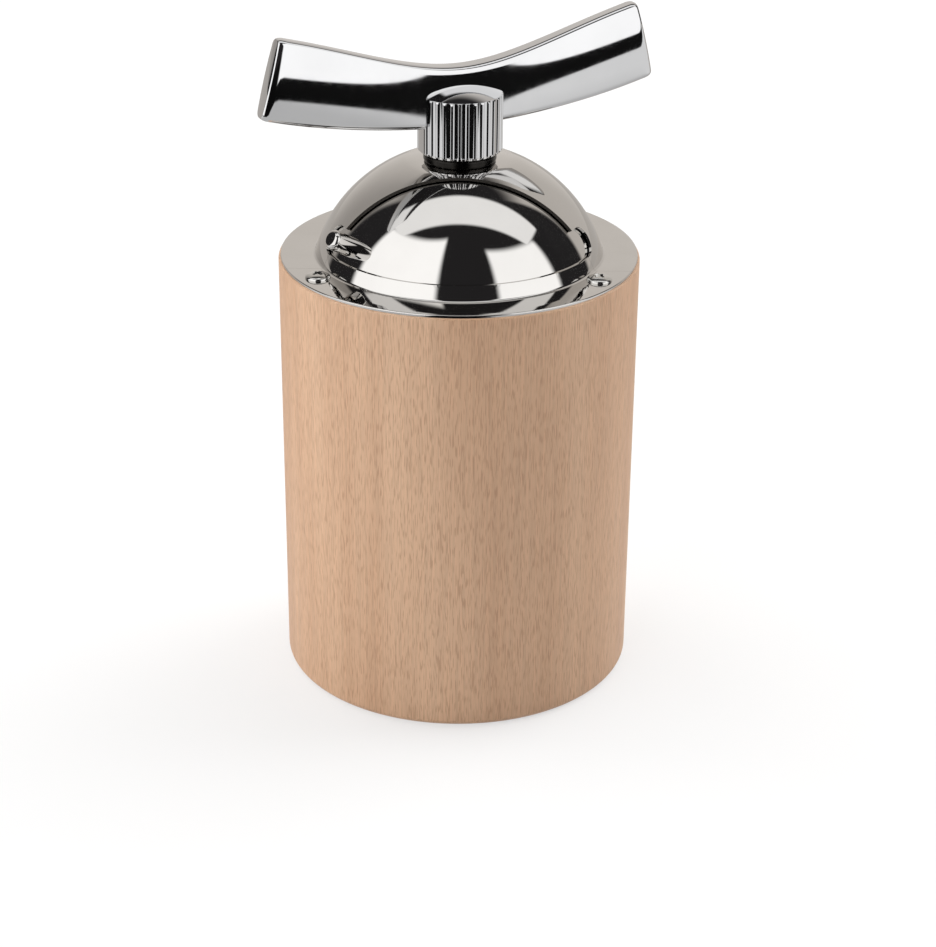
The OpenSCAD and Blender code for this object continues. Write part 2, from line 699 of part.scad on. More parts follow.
module foot_bush() {
    color("goldenrod") difference() {
        union() {
            translate([0, 0, bridge_z]) cylinder(r = foot_bush_r, h = boss_h + foot_collar_t);
            translate([0, 0, boss_top_z]) cylinder(r = foot_collar_r, h = foot_collar_t);
        }
        translate([0, 0, bridge_z - over]) cylinder(r = foot_bore_r, h = boss_h + foot_collar_t + 2 * over);
    }
}

// Places children at the mechanism screws, between the spokes
module foot_screw_places() {
    for (i = [0:foot_screw_count - 1])
        rotate([0, 0, 30 + 360 * i / foot_screw_count]) translate([foot_screw_r, 0, 0]) children();
}

module mechanism_screws() {
    color("silver") foot_screw_places() translate([0, 0, bridge_z]) mirror([0, 0, 1])
        pan_screw(foot_screw_head_d / 2, foot_screw_head_h, screw_r, foot_screw_len);
}

wooden_body();
dome_cover();
cover_screws();
neck_bush();
hatch_washer();
bush_nut();
stator_housing();
grinding_ring();
bearing_bridge();
foot_bush();
mechanism_screws();
hatch_shutter();
hatch_pin();
hatch_pin_nut();
handle_bar();
knurled_hub();
hub_grub_screw();
hub_washer();
drive_shaft();
grinding_cone();
cone_washer();
rotor_spring();
spring_seat();
cross_pin();
shaft_clip();
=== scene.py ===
# Looks of the hand-cranked flaxseed mill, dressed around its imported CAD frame.
import json
import math

import bmesh
import bpy
from mathutils import Matrix, Vector


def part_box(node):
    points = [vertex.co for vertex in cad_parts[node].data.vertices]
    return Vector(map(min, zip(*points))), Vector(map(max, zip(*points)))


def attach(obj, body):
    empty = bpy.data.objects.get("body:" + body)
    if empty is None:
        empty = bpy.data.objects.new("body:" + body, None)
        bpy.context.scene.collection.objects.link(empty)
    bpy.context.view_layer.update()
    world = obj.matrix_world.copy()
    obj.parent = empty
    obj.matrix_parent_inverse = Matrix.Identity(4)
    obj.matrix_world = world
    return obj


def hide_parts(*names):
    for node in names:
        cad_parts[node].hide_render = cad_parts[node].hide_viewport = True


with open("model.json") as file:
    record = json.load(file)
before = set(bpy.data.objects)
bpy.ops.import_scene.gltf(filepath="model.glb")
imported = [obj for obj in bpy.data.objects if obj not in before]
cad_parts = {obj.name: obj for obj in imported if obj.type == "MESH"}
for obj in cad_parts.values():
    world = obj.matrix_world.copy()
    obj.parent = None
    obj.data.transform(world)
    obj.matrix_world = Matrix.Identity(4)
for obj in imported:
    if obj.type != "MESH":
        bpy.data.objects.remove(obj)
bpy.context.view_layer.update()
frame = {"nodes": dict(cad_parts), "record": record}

# Units and mesh fineness; lengths are in metres, and angles in degrees unless turned into radians
MM = 0.001
TURN_STEPS = 256
ARC_STEP = 2
SHARP_ANGLE = math.radians(32)
TOUCH = 0.004 * MM
NORMAL_MATCH = math.cos(math.radians(25))

# Clearance of what seats in or on another piece
SEAT_FIT = 0.05 * MM

# Wooden body
BODY_WALL = 8 * MM
BOTTOM_ROUND = 1.6 * MM
TOP_ROUND = 0.5 * MM
HOPPER_FLOOR_Z = 44.85 * MM
THROAT_TOP_Z = 32.85 * MM
THROAT_R = 15.7 * MM
OUTLET_GAP = 0.4 * MM
HOUSING_FLANGE_W = 6 * MM
HOUSING_FLANGE_T = 1.6 * MM
BRIDGE_T = 1.6 * MM

# Dome cover
SHEET = 0.5 * MM
FLANGE_W = 6.64 * MM
FLANGE_ROUND = 0.2 * MM
DOME_RISE = 20.36 * MM
BASE_FILLET = 0.6 * MM
MOUTH_Y = 11 * MM
SILL_H = 2.8 * MM
NOTCH_R = 3 * MM
NOTCH_AZ = 67
NOTCH_H = 5.5 * MM
NOTCH_REACH = 4.5 * MM
NOTCH_OVER = 1 * MM
NOTCH_STEPS = 32

# Hatch and finger pin
HATCH_SHEET = 0.6 * MM
HATCH_GAP = 0.25 * MM
HATCH_LIFT = 1.8 * MM
HATCH_LEFT_AZ = -80
HATCH_RIGHT_AZ = 88
HATCH_BORE_R = 5 * MM
PIN_R = 1.9 * MM
PIN_OUT = 5.8 * MM
PIN_IN = 2.8 * MM
PIN_TIP = 0.8 * MM
PIN_AZ = -53.5
PIN_H = 5.5 * MM

# Hub
HUB_R = 8.14 * MM
HUB_CHAMFER = 0.4 * MM
HUB_ROUND = 0.5 * MM
CAP_SLOPE = 26
GRUB_R = 1.25 * MM
GRUB_LIFT = 2.35 * MM

# Knurling: a flute's floor and flank as shares of half its pitch, and the plain zone beside the bar
FLUTES = 34
FLUTE_DEPTH = 0.24 * MM
FLUTE_FLOOR = 0.36
FLUTE_FLANK = 0.42
FLUTE_END = 0.15 * MM
FLUTE_COLUMNS = 20
PLAIN_FLANK = 10

# Bar
BAR_TURN = 24
BAR_HALF = 38.16 * MM
BAR_RISE = 7.1 * MM
BAR_BEND = 5.6 * MM
BAR_MID_H = 11.6 * MM
BAR_END_H = 15.27 * MM
BAR_DEPTH = 4.4 * MM
BAR_SWELL = 35 * MM
BAR_LIFT = 10.65 * MM
BAR_MID_BULGE = 0.03 * MM
BAR_END_BULGE = 0.4 * MM
BAR_ROUND = 1.1 * MM
BAR_EDGE = 1.5 * MM
BAR_EDGE_IN = 0.45 * MM
BAR_STATIONS = 56
BAR_FACE_STEPS = 14
BAR_CORNER_STEPS = 9
BAR_EDGE_STEPS = 8

# Cover screws, with the azimuth of each and the turn of its recess
SCREW_TURNS = {-59: 20, 59: 65, 180: 40}
SCREW_HEAD_R = 2.4 * MM
SCREW_HEAD_H = 1 * MM
SCREW_RIM_H = 0.15 * MM
SCREW_CROWN_POWER = 0.9
SCREW_CROWN_STEPS = 10
SCREW_R = 1.4 * MM
SCREW_LEN = 12 * MM
SCREW_POINT_H = 2.8 * MM
SCREW_POINT_R = 0.42 * MM
RECESS_W = 0.85 * MM
RECESS_DEPTH = 0.55 * MM
RECESS_FOOT_HALF = 0.684 * MM
RECESS_MOUTH_HALF = 1.71 * MM

# Soft boxes: azimuths of their sides from the front, and the top edge's rise at the front and its slope
LEFT_BOX = (-90, -18)
LEFT_BOX_TOP = (66.0, 0.21)
LEFT_LEVEL = 1.45
RIGHT_BOX = (32, 86)
RIGHT_BOX_TOP = (58.0, -0.218)
RIGHT_LEVEL = 1.4
BOX_HEIGHT = 70
BOX_SOFT = 3.0

# Strip overhead: both edges and their softness, as shares of the height above the mill
STRIP_ALONG_Y = (-0.26, 0.21, 0.03)
STRIP_ALONG_X = (-0.95, 1.2, 0.05)
STRIP_LEVEL = 1.15
HORIZON = 0.02

# Backdrop behind the mill: each smooth step has its start, its end and the levels at both
BACK_RIGHT_EDGE = (119, 124, 0.0, 1.0)
BACK_RIGHT_FADE = (145, 172, 0.86, 1.0)
BACK_LEFT_EDGE = (-119, -126, 0.0, 1.0)
BACK_LEFT_FADE = (-130, -172, 0.55, 1.0)
BACK_TOP = (44, 62, 1.0, 0.0)
BACK_COLOUR = (0.72, 0.68, 0.64, 1)
DARK_COLOUR = (0.022, 0.021, 0.022, 1)

# Light on matt surfaces: from behind on both sides, as smooth steps, from the left box and from the strip
FILL_LEFT = (-105, -85, 2.1, 0.0)
FILL_RIGHT = (85, 105, 0.0, 3.15)
FILL_REAR = (130, 160, 1.0, 0.4)
FILL_FROM_BOX = 1.68
FILL_FROM_STRIP = 0.9

# Table, as polished metal sees it
TABLE_END = -236 * MM
TABLE_END_SOFT = 6 * MM
TABLE_REAR = 150 * MM
TABLE_SIDES = (140 * MM, 280 * MM)
TABLE_FRONT_LEVEL = 0.62
TABLE_REAR_LEVEL = 0.52
TABLE_SIDE_LEVEL = 0.3
TABLE_PAST_LEVEL = 0.008
BOX_FOOT = -390 * MM
BOX_FOOT_SOFT = 10 * MM
TABLE_WARMTH = (1, 0.945, 0.89, 1)

# Table, as the camera and matt surfaces see it
TABLE_HALF = 3.0
TABLE_COLOUR = (0.85, 0.85, 0.85, 1)
TABLE_WHITE_SHARE = 0.6
WHITE = (1, 1, 1, 1)

# Camera, placed so that the mill stands as in the photograph
CAMERA_PLACE = (2.09 * MM, -423.08 * MM, 241.22 * MM)
CAMERA_PITCH = 25.603
CAMERA_ROLL = 0.512
CAMERA_LENS = 87.83

# Sizes that follow from the frame
body_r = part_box("wooden_body")[1].x
body_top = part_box("wooden_body")[1].z
hopper_r = body_r - BODY_WALL
housing_flange_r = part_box("stator_housing")[1].x
outlet_r = housing_flange_r + OUTLET_GAP
outlet_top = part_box("bearing_bridge")[0].z + BRIDGE_T + HOUSING_FLANGE_T
seat_r = housing_flange_r - HOUSING_FLANGE_W + SEAT_FIT
seat_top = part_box("stator_housing")[1].z + SEAT_FIT
flange_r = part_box("dome_cover")[1].x
pad_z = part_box("dome_cover")[1].z
hub_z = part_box("knurled_hub")[0].z
cap_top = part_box("knurled_hub")[1].z
flange_top = body_top + SHEET
dome_foot_r = flange_r - FLANGE_W
dome_r = (dome_foot_r ** 2 + DOME_RISE ** 2) / (2 * DOME_RISE)
dome_z = flange_top + DOME_RISE - dome_r
dome_in_r = dome_r - SHEET
hatch_r = dome_in_r - HATCH_GAP
hatch_in_r = hatch_r - HATCH_SHEET
pad_in_r = math.sqrt(dome_in_r ** 2 - (pad_z - SHEET - dome_z) ** 2)
pin_slope = math.degrees(math.asin((flange_top + PIN_H - dome_z) / hatch_r))
notch_slope = math.degrees(math.asin((flange_top + NOTCH_H - dome_z) / dome_r))
fillet_z = flange_top + BASE_FILLET
fillet_r = math.sqrt((dome_r + BASE_FILLET) ** 2 - (fillet_z - dome_z) ** 2)
fillet_slope = math.degrees(math.asin((fillet_z - dome_z) / (dome_r + BASE_FILLET)))
screw_ring_r = fillet_r + SCREW_HEAD_R + SEAT_FIT
bar_slope = math.sqrt((BAR_RISE + BAR_BEND) ** 2 - BAR_BEND ** 2) / BAR_HALF


# Mesh helpers

def arc(x, z, radius, start, end):
    """Points of an arc about (x, z) between two angles in degrees."""
    count = max(2, math.ceil(abs(end - start) / ARC_STEP))
    angles = [math.radians(start + (end - start) * i / count) for i in range(count + 1)]
    return [(x + radius * math.cos(a), z + radius * math.sin(a)) for a in angles]


def bridge(low, high):
    """Faces between two rings of vertices, either of which may be a single point."""
    count = max(len(low), len(high))
    faces = []
    for k in range(count if count > 1 else 0):
        after = (k + 1) % count
        corners = [low[k % len(low)], low[after % len(low)], high[after % len(high)], high[k % len(high)]]
        faces.append(list(dict.fromkeys(corners)))
    return faces


def turned(outline):
    """Vertices and faces of a closed (radius, height) outline turned about Z."""
    verts, rings = [], []
    for radius, height in outline:
        steps = TURN_STEPS if radius > TOUCH else 1
        rings.append(range(len(verts), len(verts) + steps))
        for k in range(steps):
            angle = 2 * math.pi * k / steps
            verts.append((radius * math.cos(angle), radius * math.sin(angle), height))
    faces = []
    for low, high in zip(rings, rings[1:] + rings[:1]):
        faces += bridge(low, high)
    return verts, faces


def lofted(loops):
    """Vertices and faces of a skin through equal loops of points, closed at both ends."""
    size = len(loops[0])
    rings = [range(i * size, (i + 1) * size) for i in range(len(loops))]
    faces = [list(rings[0]), list(rings[-1])]
    for low, high in zip(rings, rings[1:]):
        faces += bridge(low, high)
    return [point for loop in loops for point in loop], faces


def make_object(name, *parts):
    """Makes one smooth-shaded object from parts, each a pair of vertices and faces."""
    verts, faces = [], []
    for part_verts, part_faces in parts:
        faces += [[index + len(verts) for index in face] for face in part_faces]
        verts += part_verts
    mesh = bpy.data.meshes.new(name)
    mesh.from_pydata(verts, [], faces)
    work = bmesh.new()
    work.from_mesh(mesh)
    bmesh.ops.recalc_face_normals(work, faces=work.faces)
    work.to_mesh(mesh)
    work.free()
    obj = bpy.data.objects.new(name, mesh)
    bpy.context.scene.collection.objects.link(obj)
    smooth(obj)
    return obj


def smooth(obj):
    """Shades an object smooth, with sharp edges where its faces meet at a clear angle."""
    obj.data.shade_smooth()
    obj.data.set_sharp_from_angle(angle=SHARP_ANGLE)


def box_part(low, high):
    """Vertices and faces of an upright box between two corners."""
    corners = [(low[0], low[1]), (high[0], low[1]), (high[0], high[1]), (low[0], high[1])]
    return lofted([[(x, y, z) for x, y in corners] for z in (low[2], high[2])])


def moved(part, matrix):
    """A part with its vertices moved by a matrix."""
    verts, faces = part
    return [tuple(matrix @ Vector(vert)) for vert in verts], faces


def cut(obj, cutters):
    """Cuts closed parts out of an object."""
    tools = [make_object("cutter", part) for part in cutters]
    for tool in tools:
        modifier = obj.modifiers.new("cut", "BOOLEAN")
        modifier.operation = "DIFFERENCE"
        modifier.solver = "EXACT"
        modifier.object = tool
    graph = bpy.context.evaluated_depsgraph_get()
    mesh = bpy.data.meshes.new_from_object(obj.evaluated_get(graph))
    obj.modifiers.clear()
    obj.data = mesh
    mesh.name = obj.name
    for tool in tools:
        bpy.data.objects.remove(tool)
    smooth(obj)


def about_z(degrees):
    """Matrix of a turn about the mill's axis."""
    return Matrix.Rotation(math.radians(degrees), 4, "Z")


def radial(azimuth, slope):
    """Matrix that lays +Z along a line from the dome's centre; azimuth 0 is the front."""
    lean = Matrix.Rotation(math.radians(90 - slope), 4, "X")
    return Matrix.Translation((0, 0, dome_z)) @ about_z(azimuth) @ lean


# True normals for the polished cover, so that its reflections run smoothly over cut faces

def ball(radius, side):
    """Normals of a sphere about the dome's centre, outwards where side is 1."""
    def normal(point):
        line = point - Vector((0, 0, dome_z))
        return side * line.normalized() if abs(line.length - radius) < TOUCH else None
    return normal


def torus(ring_r, ring_z, radius, side):
    """Normals of a round about a ring on the axis, away from the ring where side is 1."""
    def normal(point):
        flat = Vector((point.x, point.y, 0)).normalized() * ring_r
        line = point - flat - Vector((0, 0, ring_z))
        return side * line.normalized() if abs(line.length - radius) < TOUCH else None
    return normal


def set_true_normals(obj, surfaces):
    """Gives each corner the normal of the round it lies on, or else its face's normal."""
    mesh = obj.data
    normals = []
    for face in mesh.polygons:
        for index in face.vertices:
            found = face.normal
            for surface in surfaces:
                normal = surface(mesh.vertices[index].co)
                if normal is not None and normal.dot(face.normal) > NORMAL_MATCH:
                    found = normal
                    break
            normals.append(found)
    mesh.normals_split_custom_set(normals)


# Shader helpers

def add(tree, kind, inputs, **settings):
    """Adds a node; its inputs are sockets to link or plain values."""
    made = tree.nodes.new(kind)
    for key, value in settings.items():
        setattr(made, key, value)
    for key, value in inputs.items():
        if isinstance(value, bpy.types.NodeSocket):
            tree.links.new(value, made.inputs[key])
        else:
            made.inputs[key].default_value = value
    return made


def calc(tree, operation, *values):
    """Output of a math node."""
    return add(tree, "ShaderNodeMath", dict(enumerate(values)), operation=operation).outputs[0]


def ramp(tree, value, start, end, low=0.0, high=1.0):
    """Smooth step of a value from low at start to high at end."""
    inputs = {"Value": value, "From Min": start, "From Max": end, "To Min": low, "To Max": high}
    return add(tree, "ShaderNodeMapRange", inputs, interpolation_type="SMOOTHSTEP").outputs[0]


def band(tree, value, low, high, soft):
    """1 between low and high, with soft edges."""
    rise = ramp(tree, value, low - soft, low + soft)
    fall = ramp(tree, value, high - soft, high + soft, 1.0, 0.0)
    return calc(tree, "MULTIPLY", rise, fall)


def azimuth_of(tree, x, y):
    """Azimuth in degrees, 0 at the front and positive to the right."""
    return calc(tree, "DEGREES", calc(tree, "ARCTAN2", x, calc(tree, "MULTIPLY", y, -1.0)))


def blend(tree, factor, first, second, mode="MIX"):
    """Mix of two colours."""
    made = add(tree, "ShaderNodeMix", {0: factor, 6: first, 7: second}, data_type="RGBA", blend_type=mode)
    return made.outputs[2]


def grey(tree, level):
    """Grey colour of a level."""
    return add(tree, "ShaderNodeCombineColor", {i: level for i in range(3)}).outputs[0]


def own_place(tree):
    """The object's own coordinates."""
    return add(tree, "ShaderNodeTexCoord", {}).outputs["Object"]


def noise(tree, scale, detail):
    """Noise over the object's own coordinates; scale is in features per metre along each axis."""
    stretched = add(tree, "ShaderNodeMapping", {"Vector": own_place(tree), "Scale": scale}).outputs[0]
    inputs = {"Vector": stretched, "Scale": 1.0, "Detail": detail}
    return add(tree, "ShaderNodeTexNoise", inputs).outputs[0]


def start_material(name):
    """A new material with its tree and shader."""
    material = bpy.data.materials.new(name)
    material.use_nodes = True
    return material, material.node_tree, material.node_tree.nodes["Principled BSDF"]


def set_bump(tree, shader, height, strength, depth):
    """Gives a shader the relief of a height between 0 and 1."""
    inputs = {"Height": height, "Strength": strength, "Distance": depth}
    bump = add(tree, "ShaderNodeBump", inputs)
    tree.links.new(bump.outputs[0], shader.inputs["Normal"])


# Materials

# Middle range of the noise, which the smooth steps below stretch
NOISE_SPAN = (0.3, 0.7)

# How much finer a metal's gloss varies than its tone
FINER = 8

# Metals: colour, colour it drifts to, range of roughness, grain per metre along each axis, grain depth
METALS = {
    "polished_steel": ((0.66, 0.645, 0.625), (0.63, 0.615, 0.595), (0.03, 0.05), (90, 90, 90), 0.002 * MM),
    "chromed_casting": ((0.68, 0.68, 0.685), (0.65, 0.65, 0.655), (0.03, 0.05), (70, 70, 70), 0.002 * MM),
    "screw_steel": ((0.66, 0.65, 0.63), (0.58, 0.57, 0.55), (0.08, 0.16), (300, 300, 300), 0.004 * MM),
    "dark_steel": ((0.016, 0.015, 0.014), (0.028, 0.026, 0.024), (0.2, 0.3), (300, 300, 300), 0.006 * MM),
    "shaft_steel": ((0.52, 0.52, 0.52), (0.45, 0.45, 0.45), (0.22, 0.34), (120, 120, 600), 0.006 * MM),
    "hardened_steel": ((0.26, 0.255, 0.25), (0.2, 0.195, 0.19), (0.3, 0.45), (260, 260, 260), 0.01 * MM),
    "zinc_casting": ((0.46, 0.46, 0.465), (0.38, 0.38, 0.385), (0.35, 0.5), (400, 400, 400), 0.02 * MM),
    "bearing_bronze": ((0.55, 0.37, 0.16), (0.47, 0.3, 0.12), (0.28, 0.4), (350, 350, 350), 0.01 * MM),
}


def beech():
    """Beech with faint growth rings, fine upright fibres and many short dark flecks."""
    pith_place = (-0.03, 0.055, 0.012)
    upright_stretch = (1, 1, 0.22)
    ring_width = 4.2 * MM
    ring_waver = 3.0 * MM
    ring_share = 0.13
    waver_grain = (90, 90, 10)
    tone_grain = (70, 70, 4)
    fibre_grain = (3200, 3200, 45)
    fibre_tones = (0.92, 1.05)
    fleck_grain = (6500, 6500, 420)
    fleck_span = (0.52, 0.7)
    fleck_shares = (0.0, 0.5)
    roughness = (0.42, 0.55)
    pale = (0.69, 0.44, 0.275, 1)
    warm = (0.60, 0.36, 0.215, 1)
    fleck_colour = (0.37, 0.185, 0.095, 1)
    grain_depth = 0.04 * MM
    material, tree, shader = start_material("beech")
    drawn = add(tree, "ShaderNodeMapping", {"Vector": own_place(tree), "Scale": upright_stretch}).outputs[0]
    pith = add(tree, "ShaderNodeVectorMath", {0: drawn, 1: pith_place}, operation="DISTANCE")
    waver = calc(tree, "MULTIPLY", noise(tree, waver_grain, 2), ring_waver)
    from_pith = calc(tree, "ADD", pith.outputs["Value"], waver)
    rings = calc(tree, "SINE", calc(tree, "MULTIPLY", from_pith, 2 * math.pi / ring_width))
    tone = noise(tree, tone_grain, 2)
    fibres = noise(tree, fibre_grain, 2)
    flecks = noise(tree, fleck_grain, 0)
    depth = calc(tree, "MULTIPLY_ADD", rings, ring_share, ramp(tree, tone, *NOISE_SPAN))
    base = blend(tree, depth, pale, warm)
    fibre_tone = grey(tree, ramp(tree, fibres, *NOISE_SPAN, *fibre_tones))
    streaked = blend(tree, 1.0, base, fibre_tone, "MULTIPLY")
    fleck_mask = ramp(tree, flecks, *fleck_span, *fleck_shares)
    tree.links.new(blend(tree, fleck_mask, streaked, fleck_colour), shader.inputs["Base Color"])
    tree.links.new(ramp(tree, fibres, *NOISE_SPAN, *roughness), shader.inputs["Roughness"])
    shader.inputs["Specular IOR Level"].default_value = 0.7
    set_bump(tree, shader, calc(tree, "SUBTRACT", fibres, fleck_mask), 0.2, grain_depth)
    return material


def metal(name, colour, tint, roughness, scale, bump_depth):
    """A metal whose tone and gloss drift between two values over a grain of the given scale."""
    fine_scale = tuple(FINER * number for number in scale)
    material, tree, shader = start_material(name)
    drift = noise(tree, scale, 4)
    fine = noise(tree, fine_scale, 2)
    tone = blend(tree, ramp(tree, drift, *NOISE_SPAN), (*colour, 1), (*tint, 1))
    tree.links.new(tone, shader.inputs["Base Color"])
    tree.links.new(ramp(tree, fine, *NOISE_SPAN, *roughness), shader.inputs["Roughness"])
    shader.inputs["Metallic"].default_value = 1.0
    set_bump(tree, shader, fine, 0.1, bump_depth)
    return material


def cover_steel():
    """Polished steel whose cut edge at the mouth is rougher and painted dark, as painted shade on that
    edge.
    """
    edge_half = 0.02 * MM
    edge_soft = 0.01 * MM
    # Painted shade: the dark colour laid on the mouth's cut face stands in for the shade that falls on that
    # sheet edge
    edge_shade_colour = (0.11, 0.10, 0.09, 1)
    edge_roughness = 0.35
    material = metal("cover_steel", *METALS["polished_steel"])
    tree = material.node_tree
    shader = tree.nodes["Principled BSDF"]
    y = add(tree, "ShaderNodeSeparateXYZ", {0: own_place(tree)}).outputs[1]
    # Mask of the mouth's cut face, where the painted shade and the extra roughness go
    edge = band(tree, y, -MOUTH_Y - edge_half, -MOUTH_Y + edge_half, edge_soft)
    tone = shader.inputs["Base Color"].links[0].from_socket
    tree.links.new(blend(tree, edge, tone, edge_shade_colour), shader.inputs["Base Color"])
    gloss = shader.inputs["Roughness"].links[0].from_socket
    tree.links.new(calc(tree, "MULTIPLY_ADD", edge, edge_roughness, gloss), shader.inputs["Roughness"])
    return material


def black_plastic():
    """Black washers with a faint grain."""
    grain_scale = (2500, 2500, 2500)
    grain_span = (0.35, 0.65)
    grain_depth = 0.02 * MM
    roughness = (0.3, 0.42)
    dark = (0.012, 0.011, 0.010, 1)
    pale = (0.024, 0.022, 0.020, 1)
    material, tree, shader = start_material("black_plastic")
    grain = noise(tree, grain_scale, 3)
    tone = blend(tree, ramp(tree, grain, *grain_span), dark, pale)
    tree.links.new(tone, shader.inputs["Base Color"])
    tree.links.new(ramp(tree, grain, *NOISE_SPAN, *roughness), shader.inputs["Roughness"])
    set_bump(tree, shader, grain, 0.15, grain_depth)
    return material


LOOKS = {name: metal(name, *values) for name, values in METALS.items()}
LOOKS["beech_wood"] = beech()
LOOKS["black_plastic"] = black_plastic()


def dress(obj, body, node, slot):
    """Gives a piece the material of its slot, hangs it on its body and hides the CAD node it stands in for.
    """
    obj.data.materials.clear()
    obj.data.materials.append(LOOKS[slot])
    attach(obj, body)
    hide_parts(node)


# Pieces

def turned_body():
    """Wooden body, with its hopper, throat, seat and outlet turned out."""
    outline = [(outlet_r, 0)]
    outline += arc(body_r - BOTTOM_ROUND, BOTTOM_ROUND, BOTTOM_ROUND, -90, 0)
    outline += arc(body_r - TOP_ROUND, body_top - TOP_ROUND, TOP_ROUND, 0, 90)
    outline += [(hopper_r, body_top), (hopper_r, HOPPER_FLOOR_Z), (THROAT_R, THROAT_TOP_Z)]
    outline += [(THROAT_R, seat_top), (seat_r, seat_top), (seat_r, outlet_top), (outlet_r, outlet_top)]
    dress(make_object("turned_body", turned(outline)), "mill_body", "wooden_body", "beech_wood")


def notch_part(side):
    """Half-round notch that opens towards the mouth, as one closed cutter."""
    half_turn = [math.radians(-90 + 180 * i / NOTCH_STEPS) for i in range(NOTCH_STEPS + 1)]
    outline = [(side * NOTCH_R * math.cos(a), NOTCH_R * math.sin(a)) for a in half_turn]
    outline += [(-side * NOTCH_REACH, NOTCH_R), (-side * NOTCH_REACH, -NOTCH_R)]
    deep = dome_in_r - NOTCH_OVER
    shallow = dome_r + NOTCH_OVER
    part = lofted([[(x, y, z) for x, y in outline] for z in (deep, shallow)])
    return moved(part, radial(side * NOTCH_AZ, notch_slope))


def cover_shell():
    """Pressed dome with its flange, cut open for the hatch."""
    pad_r = math.sqrt(dome_r ** 2 - (pad_z - dome_z) ** 2)
    pad_foot = pad_z - SHEET
    outer_slope = math.degrees(math.acos(pad_r / dome_r))
    inner_slope = math.degrees(math.acos(pad_in_r / dome_in_r))
    outline = [(fillet_r, body_top), (flange_r, body_top)]
    outline += arc(flange_r - FLANGE_ROUND, flange_top - FLANGE_ROUND, FLANGE_ROUND, 0, 90)
    outline += arc(fillet_r, fillet_z, BASE_FILLET, 270, 180 + fillet_slope)
    outline += arc(0, dome_z, dome_r, fillet_slope, outer_slope)[1:]
    outline += [(HATCH_BORE_R, pad_z), (HATCH_BORE_R, pad_foot)]
    outline += arc(0, dome_z, dome_in_r, inner_slope, fillet_slope)
    outline += arc(fillet_r, fillet_z, BASE_FILLET + SHEET, 180 + fillet_slope, 270)[1:-1]
    shell = make_object("cover_shell", turned(outline))
    mouth = box_part((-dome_r, -dome_r - SHEET, flange_top + SILL_H), (dome_r, -MOUTH_Y, pad_z + dome_r))
    cut(shell, [mouth, notch_part(-1), notch_part(1)])
    set_true_normals(shell, [
        ball(dome_r, 1),
        ball(dome_in_r, -1),
        torus(fillet_r, fillet_z, BASE_FILLET, -1),
        torus(fillet_r, fillet_z, BASE_FILLET + SHEET, 1),
        torus(flange_r - FLANGE_ROUND, flange_top - FLANGE_ROUND, FLANGE_ROUND, 1)])
    dress(shell, "mill_body", "dome_cover", "polished_steel")
    shell.data.materials[0] = cover_steel()


def hatch_shell():
    """Round sheet inside the dome, a sector of it, with a full ring at the neck."""
    foot = body_top + HATCH_LIFT - dome_z
    outline = arc(0, dome_z, hatch_r, math.degrees(math.asin(foot / hatch_r)),
                  math.degrees(math.acos(pad_in_r / hatch_r)))
    outline += arc(0, dome_z, hatch_in_r, math.degrees(math.acos(pad_in_r / hatch_in_r)),
                   math.degrees(math.asin(foot / hatch_in_r)))
    loops = []
    for azimuth in range(HATCH_LEFT_AZ, HATCH_RIGHT_AZ + 1):
        turn = math.radians(azimuth)
        loops.append([(r * math.sin(turn), -r * math.cos(turn), z) for r, z in outline])
    ring_top = dome_z + math.sqrt(hatch_r ** 2 - pad_in_r ** 2)
    ring_foot = dome_z + math.sqrt(hatch_in_r ** 2 - pad_in_r ** 2)
    ring = turned([(HATCH_BORE_R, ring_foot), (pad_in_r, ring_foot), (pad_in_r, ring_top),
                   (HATCH_BORE_R, ring_top)])
    dress(make_object("hatch_shell", lofted(loops), ring), "hatch", "hatch_shutter", "polished_steel")


def finger_pin():
    """Straight pin with a rounded tip, on a line from the dome's centre."""
    tip = hatch_r + PIN_OUT
    outline = [(0, hatch_r - PIN_IN), (PIN_R, hatch_r - PIN_IN)]
    outline += arc(PIN_R - PIN_TIP, tip - PIN_TIP, PIN_TIP, 0, 90) + [(0, tip)]
    part = moved(turned(outline), radial(PIN_AZ, pin_slope))
    dress(make_object("finger_pin", part), "hatch", "hatch_pin", "polished_steel")


def screw_part():
    """A low domed head with its pointed shank; the head stands on z = 0."""
    crown = SCREW_HEAD_H - SCREW_RIM_H
    outline = [(0, -SCREW_LEN), (SCREW_POINT_R, -SCREW_LEN), (SCREW_R, SCREW_POINT_H - SCREW_LEN)]
    outline += [(SCREW_R, 0), (SCREW_HEAD_R, 0)]
    for i in range(SCREW_CROWN_STEPS):
        angle = math.pi / 2 * i / SCREW_CROWN_STEPS
        reach = SCREW_HEAD_R * math.cos(angle) ** SCREW_CROWN_POWER
        outline.append((reach, SCREW_RIM_H + crown * math.sin(angle)))
    return turned(outline + [(0, SCREW_HEAD_H)])


def cross_parts():
    """The two tapered slots of a cross recess, which meet in the middle of the head."""
    half_w = RECESS_W / 2
    ends = (
        (SCREW_HEAD_H - RECESS_DEPTH, RECESS_FOOT_HALF),
        (SCREW_HEAD_H + RECESS_DEPTH, RECESS_MOUTH_HALF),
    )
    loops = [[(-x, -half_w, z), (x, -half_w, z), (x, half_w, z), (-x, half_w, z)] for z, x in ends]
    return [moved(lofted(loops), about_z(quarter)) for quarter in (0, 90)]


def cover_screw_set():
    """Three low-headed screws on the flange, with a cross recess cut in each."""
    heads, recesses = [], []
    for azimuth, turn in SCREW_TURNS.items():
        place = about_z(azimuth) @ Matrix.Translation((0, -screw_ring_r, flange_top)) @ about_z(turn)
        heads.append(moved(screw_part(), place))
        recesses += [moved(part, place) for part in cross_parts()]
    screws = make_object("cover_screw_set", *heads)
    cut(screws, recesses)
    dress(screws, "mill_body", "cover_screws", "screw_steel")


